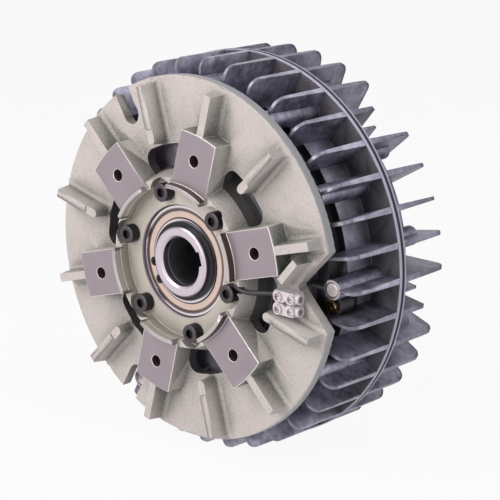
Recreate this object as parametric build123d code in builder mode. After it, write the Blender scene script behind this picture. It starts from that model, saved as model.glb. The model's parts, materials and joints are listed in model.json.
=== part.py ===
from build123d import *
from math import atan2, cos, degrees, pi, radians, sin, tan
import os

# A naturally cooled magnetic powder brake with a hollow shaft.
# The Y axis is the shaft axis. The mounting pads face the front, towards -Y, and their faces lie at
# y = 0. Z is up. The origin is the centre of the pad faces, and depths are counted rearwards.
# The bracket, the magnet core and the coil stand still. The finned drum and the shaft turn.

# Mounting face of the bracket
pad_count = 6
pad_angle = 15.5
pad_width = 33
pad_reach = 96
pad_bolt_radius = 77.5
pad_tap_drill = 8.5
pad_tap_depth = 18
spigot_radius = 57.5
spigot_height = 5.5
spigot_wall = 3.3
spigot_chamfer = 0.6

# Bracket plate and hub
plate_radius = 129.5
plate_depth = 15
plate_thickness = 8
rim_round = 1.2
window_radius = 82
window_corner = 8
hub_face_depth = 1
hub_top_radius = 60
hub_root_radius = 67
neck_radius = 66
neck_length = 7
hub_floor_depth = 8.2
pocket_radius = 10.5
bearing_lip_radius = 36

# Ribs of the bracket, with the draft of a sand casting
rib_count = 12
rib_depth = 1
rib_width = 6
rib_draft = 5
rib_end_radius = 125
rib_fillet = 3
rib_nose_radius = 83.7
rib_step_radius = 94.5
rib_step = 0.8
short_rib_start = (96, 5.3)
short_rib_end = (109.5, 20.7)
short_rib_width = 5

# Rim openings that give a hex key access to the drum screws
notch_apex_radius = 100
notch_half_angle = 46
notch_corner = 2
slot_angles = (120.5, 240.5)
slot_width = 15
slot_reach = 104

# Two sealed ball bearings of 50 x 80 x 16
bearing_bore = 50
bearing_outside = 80
bearing_width = 16
front_bearing_depth = 10.3
rear_bearing_depth = 82
inner_land_radius = 30.3
outer_land_radius = 36
ball_count = 13
ball_diameter = 8
ball_clearance = 0.15
cage_wall = 3
cage_width = 10.6
seal_inset = 0.5
seal_thickness = 1
seal_gap = 0.05
race_round = 0.8

# Hollow shaft with a flange for the drum
shaft_nose_depth = 5.1
bore_diameter = 35
bore_chamfer = 1.5
nose_chamfer = 1
relief_depth = 0.9
relief_start = 50
relief_end = 84
key_width = 10
key_depth = 3.3
key_angle = 16.5
shoulder_radius = 29
register_radius = 48
register_length = 6
flange_radius = 72
flange_thickness = 12
flange_face_depth = 116
spacer_wall = 3

# Circlips: one on the shaft in front of the front bearing, one in the core behind the rear bearing
circlip_thickness = 2
circlip_play = 0.15
shaft_groove = 1.5
shaft_clip_band = 4.6
core_groove = 1.9
core_clip_band = 4.4
clip_thinning = 0.7
clip_mouth_angle = -157
clip_lug_spread = 13
clip_lug_rise = 5.3
clip_lug_radius = 3.3
clip_hole = 2.6
clip_mouth_width = 6

# Magnet core and coil
core_bore_radius = 31
core_inner_radius = 56
pole_radius = 88
pole_wall = 8
pole_front_depth = 48
pole_disc = 12
pole_lip = 10
rear_neck_radius = 44.5
rear_neck_length = 8
rear_dish_radius = 68
rear_dish_depth = 6
bobbin_wall = 2
bobbin_gap = 0.3
coil_inset = 1.2

# Drum, two finned aluminium castings round a steel cylinder
parting_depth = 77
cylinder_wall = 14.5
powder_gap = 1.5
powder_layer = 0.8
powder_margin = 2
pole_end_clearance = 4
drum_radius = 116
drum_ledge = 6
drum_ledge_length = 12
drum_web = 8.5
rim_radius = 140.5
rim_web = 3.5
rim_chamfer = 0.7
parting_chamfer = 1.2
fin_count = 36
fin_angle = -0.4
fin_radius = 140
fin_corner = 8
fin_root_width = 4.4
fin_draft = 1.25
fin_seat = 2
front_fin_height = 10
rear_fin_height = 7
face_fin_radius = 84
short_fin_count = 6
short_fin_angle = -10.4
short_fin_depth = 104
screw_boss_count = 12
screw_boss_radius = 120.8
screw_boss_diameter = 14
rear_boss_length = 13
lug_angle = 9.6
lug_length = 30.5
lug_tap_drill = 5
lug_tap_depth = 12
neck_clearance = 1.5
seal_width = 5
seal_lip = 1.5
front_seal_wall = 5
rear_seal_wall = 5.5
rear_hub_length = 13
rear_hub_radius = 66
flange_clearance = 2.5
felt_clearance = 0.1

# Screws: thread diameter, head diameter, head height, hexagon across flats and socket depth.
# The heads of the drum screws are plain.
m8_screw = (8, 13, 8, 6, 4)
m6_screw = (6, 10, 6, 5, 3)
m6_plain_screw = (6, 10, 6, 0, 0)
screw_chamfer = 0.6
hub_screw_radius = 50
hub_screw_length = 45
core_screw_length = 40
drum_screw_length = 60
hub_bolt_count = 8
hub_bolt_radius = 60
hub_bolt_length = 16
screw_clearance = 0.3
head_sink = 0.4
thread_runout = 1.5

# Filler plugs for the powder
plug_angle = -7
plug_radius = 116
plug_head = (10, 4.2)
plug_socket = (5, 3)
plug_thread = 8
plug_thread_length = 5
plug_boss_diameter = 14
plug_boss_height = 1
fill_duct = 4

# Coil lead, from the coil through the hub and across the bracket to the terminal block
lead_diameter = 3.5
lead_clearance = 0.6
lead_notch_start = 3
lead_bend_share = 0.45
lead_route = [
    (60.1, 62.0, -4.9),
    (52.2, 6.0, -4.1),
    (55.2, 2.5, -5.9),
    (62.2, 4.3, -9.2),
    (69.0, 5.2, -8.6),
    (76.5, 7.0, -7.4),
    (84.3, 8.8, -6.5),
    (90.0, 9.0, -6.4),
]

# Two-pole terminal block on the plate
block_left = 86.5
block_length = 22
block_height = 11.5
pole_pitch = 8.6
top_pole_height = -6.4
pole_width = 7.8
barrel_diameter = 7.2
barrel_standout = 3
funnel_diameter = 6.6
funnel_inset = 5.4
waist_length = 7
waist_height = 3
sleeve_diameter = 4.6
sleeve_bore = 3.6
sleeve_inset = 3.5
clamp_thread = 3
clamp_head = 4.2
clamp_head_height = 2
clamp_slot = 0.8
block_screw_thread = 2.5
block_screw_head = 3.8
block_screw_length = 10
block_corner = 1.2
block_gap = 0.3


def at_depth(depth):
    # A plane across the shaft axis. Its x runs along X and its y along Z, and it faces the front.
    return Plane.XZ.offset(-depth)


def polar(radius, angle):
    return (radius * cos(radians(angle)), radius * sin(radians(angle)))


def save(builder, name):
    builder.part.label = name
    export_step(builder.part, f"parts/{name}.step")


os.makedirs("parts", exist_ok=True)

# Depths and radii that follow from the driving dimensions
plate_back = plate_depth + plate_thickness
neck_end = plate_back + neck_length
bearing_radius = bearing_outside / 2
shaft_radius = bearing_bore / 2
bore_radius = bore_diameter / 2
spigot_inner_radius = spigot_radius - spigot_wall
front_bearing_back = front_bearing_depth + bearing_width
rear_bearing_back = rear_bearing_depth + bearing_width
pole_back_depth = 2 * parting_depth - pole_front_depth
coil_front = pole_front_depth + pole_disc
coil_back = pole_back_depth - pole_disc
lip_front_end = coil_front + pole_lip
lip_back_start = coil_back - pole_lip
pole_lip_radius = pole_radius - pole_wall
rear_face = pole_back_depth - rear_dish_depth
rear_neck_end = rear_face + rear_neck_length
cylinder_front = pole_front_depth - pole_end_clearance
cylinder_back = pole_back_depth + pole_end_clearance
cylinder_inner = pole_radius + powder_gap
cylinder_outer = cylinder_inner + cylinder_wall
web_front = cylinder_front - drum_web
web_back = cylinder_back + drum_web
fins_front = web_front - front_fin_height
fins_back = web_back + rear_fin_height
ledge_radius = drum_radius - drum_ledge
flange_back = flange_face_depth + flange_thickness
register_face = flange_face_depth - register_length
gap_angle = pad_angle + 180 / pad_count
m8_thread, m8_head, m8_head_height = m8_screw[:3]
m6_thread, m6_head, m6_head_height = m6_screw[:3]
core_screw_seat = rear_face - m6_head_height - head_sink
drum_screw_seat = fins_front + m6_head_height
hub_bolt_seat = flange_back - m6_head_height - head_sink
plug_seat = web_front - plug_boss_height
block_centre_x = block_left + block_length / 2
block_centre_z = top_pole_height - pole_pitch / 2

# The bore that the coil lead runs through, straight from the coil to the hub floor
lead_start = Vector(*lead_route[0])
lead_exit = Vector(*lead_route[1])
with BuildPart() as lead_bore:
    with BuildSketch(Plane(origin=lead_start, z_dir=lead_exit - lead_start)):
        Circle(lead_diameter / 2 + lead_clearance)
    extrude(amount=(lead_exit - lead_start).length)
    extrude(lead_bore.faces().sort_by(Axis.Y)[-1], amount=bobbin_wall)


def cast_rib(length, width, round_nose):
    # One drafted rib along X with fillets at its root. Its front face runs from x = 0 to the length.
    root_length = length + 2 * rib_spread
    root_width = width + 2 * rib_spread
    with BuildPart() as rib:
        with BuildSketch(at_depth(plate_depth)):
            if round_nose:
                with Locations((root_width / 2 - rib_spread, 0)):
                    Circle(root_width / 2)
                with Locations((length / 2 + root_width / 4, 0)):
                    Rectangle(root_length - root_width / 2, root_width)
            else:
                with Locations((length / 2, 0)):
                    Rectangle(root_length, root_width)
        extrude(amount=rib_height, taper=rib_draft)
        slab_margin = 3 * rib_fillet
        with BuildSketch(at_depth(plate_depth)):
            with Locations((length / 2, 0)):
                Rectangle(root_length + 2 * slab_margin, root_width + 2 * slab_margin)
        extrude(amount=-plate_thickness)
        face_edges = rib.edges().filter_by_position(Axis.Y, plate_depth, plate_depth)
        root_edges = face_edges.filter_by_position(Axis.Z, -width, width)
        root_edges = root_edges.filter_by_position(Axis.X, -2 * rib_fillet, length + 2 * rib_fillet)
        fillet(root_edges, rib_fillet)
        split(bisect_by=at_depth(plate_depth), keep=Keep.TOP)
    return rib.part


# Plate of the bracket with its windows, rim openings and ribs
rib_height = plate_depth - rib_depth
rib_spread = rib_height * tan(radians(rib_draft))
short_rib_run = Vector(*short_rib_end) - Vector(*short_rib_start)
short_rib_angle = degrees(atan2(short_rib_run.Y, short_rib_run.X))
with BuildPart() as ribbed_plate:
    with BuildSketch(at_depth(plate_back)):
        Circle(plate_radius)
    extrude(amount=plate_thickness)
    fillet(ribbed_plate.edges().filter_by(GeomType.CIRCLE), rim_round)

    # Twelve ribs, from the pads and from between them out to the rim, and a short one by the notch
    for nose_radius, first_angle in ((pad_reach - 2 * rib_width, pad_angle), (rib_nose_radius, gap_angle)):
        rib = cast_rib(rib_end_radius - nose_radius, rib_width, True)
        for index in range(pad_count):
            angle = first_angle + index * 360 / pad_count
            x, z = polar(nose_radius, angle)
            with Locations((x, 0, z)):
                add(rib, rotation=(0, -angle, 0))
    with Locations((short_rib_start[0], 0, short_rib_start[1])):
        add(cast_rib(short_rib_run.length, short_rib_width, False), rotation=(0, -short_rib_angle, 0))

    # The opening for the hub, and windows between the pads with round corners at the plate.
    # These and the rim openings also cut the fillets of the ribs.
    opening_length = plate_thickness + rib_fillet
    with BuildSketch(at_depth(plate_back)) as windows:
        Circle(window_radius)
        with PolarLocations(0, pad_count // 2, start_angle=pad_angle, angular_range=180):
            Rectangle(2 * plate_radius, pad_width, mode=Mode.SUBTRACT)
        window_corners = windows.vertices().sort_by_distance((0, 0, 0))[-2 * pad_count:]
        fillet(window_corners, window_corner)
        Circle(hub_top_radius)
    extrude(amount=opening_length, mode=Mode.SUBTRACT)

    # V notch and the two U slots in the rim
    flank_length = 2 * (plate_radius - notch_apex_radius)
    flank_x = notch_apex_radius + flank_length * cos(radians(notch_half_angle))
    flank_z = flank_length * sin(radians(notch_half_angle))
    slot_length = 2 * (plate_radius - slot_reach)
    with BuildSketch(at_depth(plate_back)) as rim_openings:
        Polygon((notch_apex_radius, 0), (flank_x, -flank_z), (flank_x, flank_z), align=None)
        fillet(rim_openings.vertices().sort_by(Axis.X)[0], notch_corner)
        for slot_angle in slot_angles:
            with Locations(polar(slot_reach + slot_length / 2, slot_angle)):
                SlotOverall(slot_length, slot_width, rotation=slot_angle)
    extrude(amount=opening_length, mode=Mode.SUBTRACT)

    # The ribs between the pads step down towards their noses
    with BuildSketch(at_depth(rib_depth + rib_step)):
        with PolarLocations((rib_nose_radius + rib_step_radius) / 2, pad_count, start_angle=gap_angle):
            Rectangle(rib_step_radius - rib_nose_radius + 2 * rib_width, 2 * rib_width)
        Circle(rib_step_radius, mode=Mode.INTERSECT)
    extrude(amount=rib_step, mode=Mode.SUBTRACT)

# Front bracket: one iron casting of the ribbed plate, the hub and six pads
with BuildPart() as front_bracket:
    # The hub with the spigot as a whole ring, the cone down to the plate, the neck and the bearing seat
    with BuildSketch(Plane.XY):
        Polygon(
            (bearing_radius, hub_floor_depth),
            (spigot_inner_radius, hub_floor_depth),
            (spigot_inner_radius, -spigot_height),
            (spigot_radius - spigot_chamfer, -spigot_height),
            (spigot_radius, spigot_chamfer - spigot_height),
            (spigot_radius, hub_face_depth),
            (hub_top_radius, hub_face_depth),
            (hub_root_radius, plate_back),
            (neck_radius, plate_back),
            (neck_radius, neck_end),
            (bearing_lip_radius, neck_end),
            (bearing_lip_radius, front_bearing_back),
            (bearing_radius, front_bearing_back),
            align=None,
        )
    revolve(axis=Axis.Y)

    # Pads, which run through the plate to its rear face
    with BuildSketch(at_depth(plate_back)):
        with PolarLocations(0, pad_count // 2, start_angle=pad_angle, angular_range=180):
            Rectangle(2 * plate_radius, pad_width)
        Circle(pad_reach, mode=Mode.INTERSECT)
        Circle(spigot_radius - spigot_wall / 2, mode=Mode.SUBTRACT)
    extrude(amount=plate_back)

    # Between the pads the spigot is cut away down to the face of the hub
    with BuildSketch(at_depth(hub_face_depth)):
        Circle(hub_top_radius + spigot_wall)
        Circle(bearing_radius, mode=Mode.SUBTRACT)
        with PolarLocations(0, pad_count // 2, start_angle=pad_angle, angular_range=180):
            Rectangle(2 * plate_radius, pad_width, mode=Mode.SUBTRACT)
    extrude(amount=hub_face_depth + spigot_height, mode=Mode.SUBTRACT)

    # A round pocket at each hub screw, and the screw holes
    with BuildSketch(at_depth(hub_floor_depth)):
        with PolarLocations(hub_screw_radius, pad_count, start_angle=gap_angle):
            Circle(pocket_radius)
    extrude(amount=hub_floor_depth, mode=Mode.SUBTRACT)
    with BuildSketch(at_depth(neck_end)):
        with PolarLocations(hub_screw_radius, pad_count, start_angle=gap_angle):
            Circle(m8_thread / 2 + screw_clearance)
    extrude(amount=neck_end - hub_floor_depth, mode=Mode.SUBTRACT)
    add(ribbed_plate.part)

    # Tapped holes in the pads
    with BuildSketch(at_depth(0)):
        with PolarLocations(pad_bolt_radius, pad_count, start_angle=pad_angle):
            Circle(pad_tap_drill / 2)
    extrude(amount=-pad_tap_depth, mode=Mode.SUBTRACT)

    # The way out for the coil lead, and the notch that lets it over the hub wall
    add(lead_bore.part, mode=Mode.SUBTRACT)
    notch_run = Vector(*lead_route[3]) - Vector(*lead_route[2])
    notch_middle = (Vector(*lead_route[3]) + Vector(*lead_route[2])) / 2
    notch_floor = lead_route[3][1] + lead_diameter / 2 + lead_clearance
    with BuildSketch(at_depth(notch_floor)):
        with Locations((notch_middle.X, notch_middle.Z)):
            Rectangle(
                notch_run.length + 2 * lead_notch_start,
                lead_diameter + 2 * lead_clearance,
                rotation=degrees(atan2(notch_run.Z, notch_run.X)),
            )
    extrude(amount=notch_floor, mode=Mode.SUBTRACT)

    # A flat seat and a tapped hole for the terminal block, close beside a rib
    with BuildSketch(at_depth(plate_depth)):
        with Locations((block_centre_x, block_centre_z)):
            Rectangle(
                block_length - 2 * barrel_standout + 2 * block_gap,
                pole_pitch + pole_width + 2 * block_gap,
            )
    extrude(amount=rib_fillet, mode=Mode.SUBTRACT)
    with BuildSketch(at_depth(plate_depth)):
        with Locations((block_centre_x, block_centre_z)):
            Circle(block_screw_thread / 2)
    extrude(amount=-plate_thickness, mode=Mode.SUBTRACT)

save(front_bracket, "front_bracket")

# Front half of the magnet core, with the tapped holes for both sets of screws
with BuildPart() as core_front:
    with BuildSketch(Plane.XY):
        Polygon(
            (core_bore_radius, neck_end),
            (neck_radius, neck_end),
            (neck_radius, pole_front_depth),
            (pole_radius, pole_front_depth),
            (pole_radius, lip_front_end),
            (pole_lip_radius, lip_front_end),
            (pole_lip_radius, coil_front),
            (core_inner_radius, coil_front),
            (core_inner_radius, parting_depth),
            (core_bore_radius, parting_depth),
            align=None,
        )
    revolve(axis=Axis.Y)
    hub_screw_end = hub_floor_depth + hub_screw_length
    with BuildSketch(at_depth(hub_screw_end + thread_runout)):
        with PolarLocations(hub_screw_radius, pad_count, start_angle=gap_angle):
            Circle(m8_thread / 2)
    extrude(amount=hub_screw_end + thread_runout - neck_end, mode=Mode.SUBTRACT)
    core_screw_end = core_screw_seat - core_screw_length
    with BuildSketch(at_depth(parting_depth)):
        with PolarLocations(hub_screw_radius, pad_count, start_angle=pad_angle):
            Circle(m6_thread / 2)
    extrude(amount=parting_depth - core_screw_end + thread_runout, mode=Mode.SUBTRACT)
    add(lead_bore.part, mode=Mode.SUBTRACT)

save(core_front, "magnet_core_front")

# Rear half of the magnet core, which holds the rear bearing
with BuildPart() as core_rear:
    groove_front = rear_bearing_back
    groove_back = rear_bearing_back + circlip_thickness + circlip_play
    groove_radius = bearing_radius + core_groove
    with BuildSketch(Plane.XY):
        Polygon(
            (core_bore_radius, parting_depth),
            (core_inner_radius, parting_depth),
            (core_inner_radius, coil_back),
            (pole_lip_radius, coil_back),
            (pole_lip_radius, lip_back_start),
            (pole_radius, lip_back_start),
            (pole_radius, pole_back_depth),
            (rear_dish_radius, pole_back_depth),
            (rear_dish_radius, rear_face),
            (rear_neck_radius, rear_face),
            (rear_neck_radius, rear_neck_end),
            (bearing_radius, rear_neck_end),
            (bearing_radius, groove_back),
            (groove_radius, groove_back),
            (groove_radius, groove_front),
            (bearing_radius, groove_front),
            (bearing_radius, rear_bearing_depth),
            (core_bore_radius, rear_bearing_depth),
            align=None,
        )
    revolve(axis=Axis.Y)
    with BuildSketch(at_depth(rear_face)):
        with PolarLocations(hub_screw_radius, pad_count, start_angle=pad_angle):
            Circle(m6_head / 2 + screw_clearance)
    extrude(amount=rear_face - core_screw_seat, mode=Mode.SUBTRACT)
    with BuildSketch(at_depth(core_screw_seat)):
        with PolarLocations(hub_screw_radius, pad_count, start_angle=pad_angle):
            Circle(m6_thread / 2 + screw_clearance)
    extrude(amount=core_screw_seat - parting_depth, mode=Mode.SUBTRACT)

save(core_rear, "magnet_core_rear")

# Non-magnetic ring that closes the coil space between the two pole faces
with BuildPart() as pole_spacer:
    with BuildSketch(at_depth(lip_back_start)):
        Circle(pole_radius)
        Circle(pole_lip_radius, mode=Mode.SUBTRACT)
    extrude(amount=lip_back_start - lip_front_end)

save(pole_spacer, "pole_spacer_ring")

# Coil bobbin and the winding on it
bobbin_inner = core_inner_radius + bobbin_gap
bobbin_outer = pole_lip_radius - bobbin_gap
winding_inner = bobbin_inner + bobbin_wall
winding_front = coil_front + bobbin_gap + bobbin_wall
winding_back = coil_back - bobbin_gap - bobbin_wall
with BuildPart() as coil_bobbin:
    with BuildSketch(at_depth(coil_back - bobbin_gap)):
        Circle(bobbin_outer)
        Circle(bobbin_inner, mode=Mode.SUBTRACT)
    extrude(amount=coil_back - coil_front - 2 * bobbin_gap)
    with BuildSketch(at_depth(winding_back)):
        Circle(bobbin_outer)
        Circle(winding_inner, mode=Mode.SUBTRACT)
    extrude(amount=winding_back - winding_front, mode=Mode.SUBTRACT)
    add(lead_bore.part, mode=Mode.SUBTRACT)

save(coil_bobbin, "coil_bobbin")

with BuildPart() as field_coil:
    with BuildSketch(at_depth(winding_back)):
        Circle(bobbin_outer - coil_inset)
        Circle(winding_inner, mode=Mode.SUBTRACT)
    extrude(amount=winding_back - winding_front)

save(field_coil, "field_coil")


def write_bearing(end, depth):
    # One sealed ball bearing: two races, a caged ring of balls and a seal on each side
    middle = depth + bearing_width / 2
    groove_radius = ball_diameter / 2 + ball_clearance
    orbit = (inner_land_radius + outer_land_radius) / 2

    with BuildPart() as outer_race:
        with BuildSketch(Plane.XY) as section:
            with Locations(((outer_land_radius + bearing_radius) / 2, middle)):
                Rectangle(bearing_radius - outer_land_radius, bearing_width)
            fillet(section.vertices().group_by(Axis.X)[-1], race_round)
            with Locations((orbit, middle)):
                Circle(groove_radius, mode=Mode.SUBTRACT)
        revolve(axis=Axis.Y)

    with BuildPart() as inner_race:
        with BuildSketch(Plane.XY) as section:
            with Locations(((inner_land_radius + shaft_radius) / 2, middle)):
                Rectangle(inner_land_radius - shaft_radius, bearing_width)
            fillet(section.vertices().group_by(Axis.X)[0], race_round)
            with Locations((orbit, middle)):
                Circle(groove_radius, mode=Mode.SUBTRACT)
        revolve(axis=Axis.Y)

    with BuildPart() as balls:
        with Locations(at_depth(middle)):
            with PolarLocations(orbit, ball_count):
                Sphere(ball_diameter / 2)

    with BuildPart() as cage:
        with BuildSketch(at_depth(middle)):
            Circle(orbit + cage_wall / 2)
            Circle(orbit - cage_wall / 2, mode=Mode.SUBTRACT)
        extrude(amount=cage_width / 2, both=True)
        for index in range(ball_count):
            x, z = polar(1, index * 360 / ball_count)
            with BuildSketch(Plane(origin=(0, middle, 0), z_dir=(x, 0, z))):
                Circle(groove_radius)
            extrude(amount=bearing_radius, mode=Mode.SUBTRACT)

    with BuildPart() as seals:
        for seal_back in (depth + seal_inset + seal_thickness, depth + bearing_width - seal_inset):
            with BuildSketch(at_depth(seal_back)):
                Circle(outer_land_radius)
                Circle(inner_land_radius + seal_gap, mode=Mode.SUBTRACT)
            extrude(amount=seal_thickness)

    save(outer_race, f"{end}_bearing_outer_race")
    save(inner_race, f"{end}_bearing_inner_race")
    save(balls, f"{end}_bearing_balls")
    save(cage, f"{end}_bearing_cage")
    save(seals, f"{end}_bearing_seals")


write_bearing("front", front_bearing_depth)
write_bearing("rear", rear_bearing_depth)

# Hollow shaft: the nose, the bearing seats, the shoulder, the register and the drum flange
with BuildPart() as hollow_shaft:
    relief_radius = bore_radius + relief_depth
    shaft_groove_front = front_bearing_depth - circlip_thickness - circlip_play
    with BuildSketch(Plane.XY):
        Polygon(
            (bore_radius + bore_chamfer, shaft_nose_depth),
            (shaft_radius - nose_chamfer, shaft_nose_depth),
            (shaft_radius, shaft_nose_depth + nose_chamfer),
            (shaft_radius, shaft_groove_front),
            (shaft_radius - shaft_groove, shaft_groove_front),
            (shaft_radius - shaft_groove, front_bearing_depth),
            (shaft_radius, front_bearing_depth),
            (shaft_radius, rear_bearing_back),
            (shoulder_radius, rear_bearing_back),
            (shoulder_radius, register_face),
            (register_radius, register_face),
            (register_radius, flange_face_depth),
            (flange_radius, flange_face_depth),
            (flange_radius, flange_back - nose_chamfer),
            (flange_radius - nose_chamfer, flange_back),
            (bore_radius + bore_chamfer, flange_back),
            (bore_radius, flange_back - bore_chamfer),
            (bore_radius, relief_end),
            (relief_radius, relief_end),
            (relief_radius, relief_start),
            (bore_radius, relief_start),
            (bore_radius, shaft_nose_depth + bore_chamfer),
            align=None,
        )
    revolve(axis=Axis.Y)
    with BuildSketch(at_depth(flange_back)):
        with Locations(polar((bore_radius + key_depth) / 2, key_angle)):
            Rectangle(bore_radius + key_depth, key_width, rotation=key_angle)
    extrude(amount=flange_back - shaft_nose_depth, mode=Mode.SUBTRACT)
    with BuildSketch(at_depth(flange_back)):
        with PolarLocations(hub_bolt_radius, hub_bolt_count, start_angle=key_angle):
            Circle(m6_head / 2 + screw_clearance)
    extrude(amount=flange_back - hub_bolt_seat, mode=Mode.SUBTRACT)
    with BuildSketch(at_depth(hub_bolt_seat)):
        with PolarLocations(hub_bolt_radius, hub_bolt_count, start_angle=key_angle):
            Circle(m6_thread / 2 + screw_clearance)
    extrude(amount=hub_bolt_seat - flange_face_depth, mode=Mode.SUBTRACT)

save(hollow_shaft, "hollow_shaft")

# Sleeve that keeps the two inner races apart
with BuildPart() as bearing_spacer:
    with BuildSketch(at_depth(rear_bearing_depth)):
        Circle(shaft_radius + spacer_wall)
        Circle(shaft_radius, mode=Mode.SUBTRACT)
    extrude(amount=rear_bearing_depth - front_bearing_back)

save(bearing_spacer, "bearing_spacer")

# Front circlip, thinner towards its mouth, with a lug and an eye on each side of the mouth
with BuildPart() as front_circlip:
    clip_inner = shaft_radius - shaft_groove
    clip_outer = clip_inner + shaft_clip_band
    with BuildSketch(at_depth(front_bearing_depth)):
        with Locations(polar(-clip_thinning, clip_mouth_angle)):
            Circle(clip_outer)
        for side in (-1, 1):
            with Locations(polar(clip_inner + clip_lug_rise, clip_mouth_angle + side * clip_lug_spread)):
                Circle(clip_lug_radius)
        Circle(clip_inner, mode=Mode.SUBTRACT)
        with Locations(polar(clip_outer, clip_mouth_angle)):
            Rectangle(2 * clip_outer - clip_inner, clip_mouth_width, rotation=clip_mouth_angle, mode=Mode.SUBTRACT)
        for side in (-1, 1):
            with Locations(polar(clip_inner + clip_lug_rise, clip_mouth_angle + side * clip_lug_spread)):
                Circle(clip_hole / 2, mode=Mode.SUBTRACT)
    extrude(amount=circlip_thickness)

save(front_circlip, "front_circlip")

# Rear circlip in the magnet core, with its lugs turned inwards
with BuildPart() as rear_circlip:
    clip_outer = bearing_radius + core_groove
    clip_inner = clip_outer - core_clip_band
    with BuildSketch(at_depth(rear_bearing_back + circlip_thickness)):
        Circle(clip_outer)
        with Locations(polar(clip_thinning, clip_mouth_angle)):
            Circle(clip_inner, mode=Mode.SUBTRACT)
        for side in (-1, 1):
            with Locations(polar(clip_outer - clip_lug_rise, clip_mouth_angle + side * clip_lug_spread)):
                Circle(clip_lug_radius)
        with Locations(polar(clip_inner, clip_mouth_angle)):
            Rectangle(clip_inner / 2, clip_mouth_width, rotation=clip_mouth_angle, mode=Mode.SUBTRACT)
        for side in (-1, 1):
            with Locations(polar(clip_outer - clip_lug_rise, clip_mouth_angle + side * clip_lug_spread)):
                Circle(clip_hole / 2, mode=Mode.SUBTRACT)
    extrude(amount=circlip_thickness)

save(rear_circlip, "rear_bearing_circlip")

# Steel cylinder of the drum, and the layer of magnetic powder that it carries when it turns
with BuildPart() as steel_cylinder:
    with BuildSketch(at_depth(cylinder_back)):
        Circle(cylinder_outer)
        Circle(cylinder_inner, mode=Mode.SUBTRACT)
    extrude(amount=cylinder_back - cylinder_front)

save(steel_cylinder, "steel_cylinder")

with BuildPart() as magnetic_powder:
    with BuildSketch(at_depth(pole_back_depth - powder_margin)):
        Circle(cylinder_inner)
        Circle(cylinder_inner - powder_layer, mode=Mode.SUBTRACT)
    extrude(amount=pole_back_depth - pole_front_depth - 2 * powder_margin)

save(magnetic_powder, "magnetic_powder")


def fin_ring(web_depth, edge_depth, face_height):
    # The fins of one drum half, facing the front. Tapered blades stand on the rim web, and the
    # side profile of a fin, turned about the shaft axis, trims them to shape.
    with BuildPart() as ring:
        blade_seat = web_depth + rim_web / 2
        blade_length = 2 * (rim_radius - face_fin_radius)
        with BuildSketch(at_depth(blade_seat)):
            with PolarLocations(face_fin_radius + blade_length / 2 - fin_seat, fin_count, start_angle=fin_angle):
                Rectangle(blade_length, fin_root_width)
        extrude(amount=blade_seat - edge_depth, taper=fin_draft)
        face_depth = edge_depth + face_height
        with BuildSketch(Plane.XY):
            with BuildLine():
                Line((drum_radius - fin_seat, blade_seat), (fin_radius, blade_seat))
                Line((fin_radius, blade_seat), (fin_radius, edge_depth + fin_corner))
                JernArc((fin_radius, edge_depth + fin_corner), (0, -1), fin_corner, -90)
                Polyline(
                    (fin_radius - fin_corner, edge_depth),
                    (face_fin_radius, edge_depth),
                    (face_fin_radius, face_depth + fin_seat),
                    (ledge_radius - fin_seat, face_depth + fin_seat),
                    (ledge_radius - fin_seat, face_depth + drum_ledge_length + fin_seat),
                    (drum_radius - fin_seat, face_depth + drum_ledge_length + fin_seat),
                    (drum_radius - fin_seat, blade_seat),
                )
            make_face()
        revolve(axis=Axis.Y, mode=Mode.INTERSECT)
    return ring.part


front_fins = fin_ring(parting_depth - rim_web, fins_front, front_fin_height)
rear_fins = fin_ring(parting_depth - rim_web, 2 * parting_depth - fins_back, rear_fin_height)

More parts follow.
